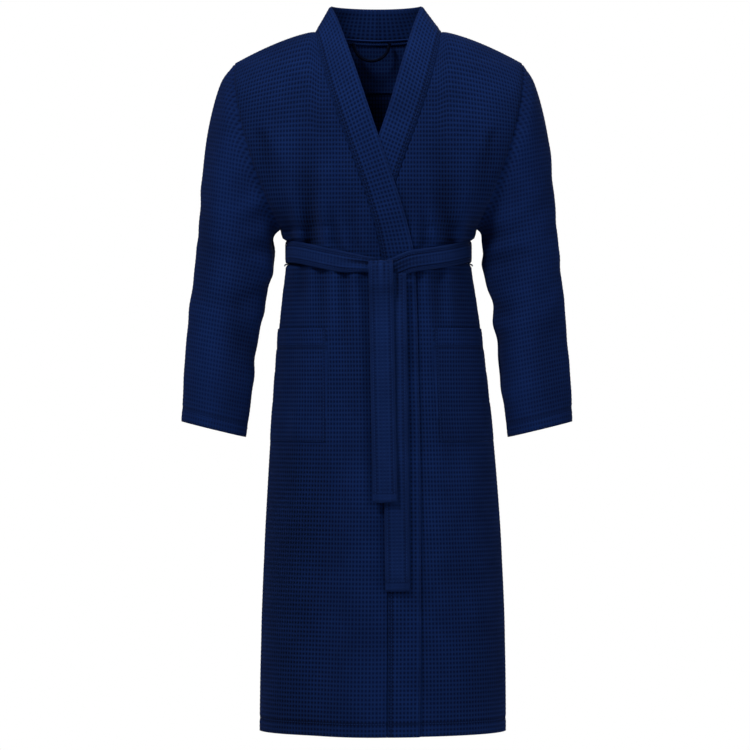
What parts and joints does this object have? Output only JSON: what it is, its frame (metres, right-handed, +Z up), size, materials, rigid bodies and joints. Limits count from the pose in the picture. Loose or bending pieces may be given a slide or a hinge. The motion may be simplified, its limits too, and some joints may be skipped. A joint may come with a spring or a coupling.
{
  "type": "wrap bathrobe",
  "caption": "Long wrap bathrobe in navy waffle cotton, shown worn and belted: folded front band and collar, wide sleeves, patch pockets, tied belt.",
  "frame": {"origin": "centre of the robe's footprint at the height of its hem, midway between the side seams of the waist", "axes": "+X to the wearer's left, -Y out of the robe's front, +Z up"},
  "size_m": [0.672, 0.3304, 1.2423],
  "materials": {
    "waffle_body": "matte waffle weave",
    "waffle_trim": "matte waffle weave, folded double",
    "waffle_belt": "matte waffle weave, stitched edges",
    "cord": "matte braided cord and thread"
  },
  "bodies": {
    "robe": {"back_panel": "waffle_body", "right_front_panel": "waffle_body", "left_front_panel": "waffle_body", "right_front_band": "waffle_trim", "left_front_band": "waffle_trim", "back_neck_facing": "waffle_body", "right_sleeve_head": "waffle_body", "left_sleeve_head": "waffle_body", "right_pocket": "waffle_body", "left_pocket": "waffle_body", "right_belt_loop": "cord", "left_belt_loop": "cord", "belt_wrap": "waffle_belt", "belt_knot": "waffle_belt"},
    "front_corner": {"right_front_corner": "waffle_body", "right_band_end": "waffle_trim"},
    "loop": {"hanging_loop": "cord"},
    "right_sleeve": {"right_sleeve": "waffle_body"},
    "left_sleeve": {"left_sleeve": "waffle_body"},
    "tail_outer": {"belt_tail_outer": "waffle_belt"},
    "tail_inner": {"belt_tail_inner": "waffle_belt"}
  },
  "joints": [
    {"name": "right_sleeve_swing", "type": "hinge", "parent": "robe", "child": "right_sleeve", "pos_m": [-0.19, 0, 1.08], "axis": [0, 1, 0], "range_deg": [0, 50]},
    {"name": "left_sleeve_swing", "type": "hinge", "parent": "robe", "child": "left_sleeve", "pos_m": [0.19, 0, 1.08], "axis": [0, -1, 0], "range_deg": [0, 50]},
    {"name": "front_corner_lift", "type": "hinge", "parent": "robe", "child": "front_corner", "pos_m": [-0.012, -0.158, 0.1175], "axis": [-0.5531, 0, -0.8331], "range_deg": [0, 55], "stiffness_Nm_per_rad": 0.05},
    {"name": "tail_outer_swing", "type": "hinge", "parent": "robe", "child": "tail_outer", "pos_m": [0.0045, -0.139, 0.747], "axis": [0, -1, 0], "range_deg": [-20, 20]},
    {"name": "tail_inner_swing", "type": "hinge", "parent": "robe", "child": "tail_inner", "pos_m": [0.03, -0.131, 0.745], "axis": [0, -1, 0], "range_deg": [-20, 20]},
    {"name": "loop_flip", "type": "hinge", "parent": "robe", "child": "loop", "pos_m": [-0.012, 0.061, 1.186], "axis": [-1, 0, 0], "range_deg": [0, 165]}
  ]
}
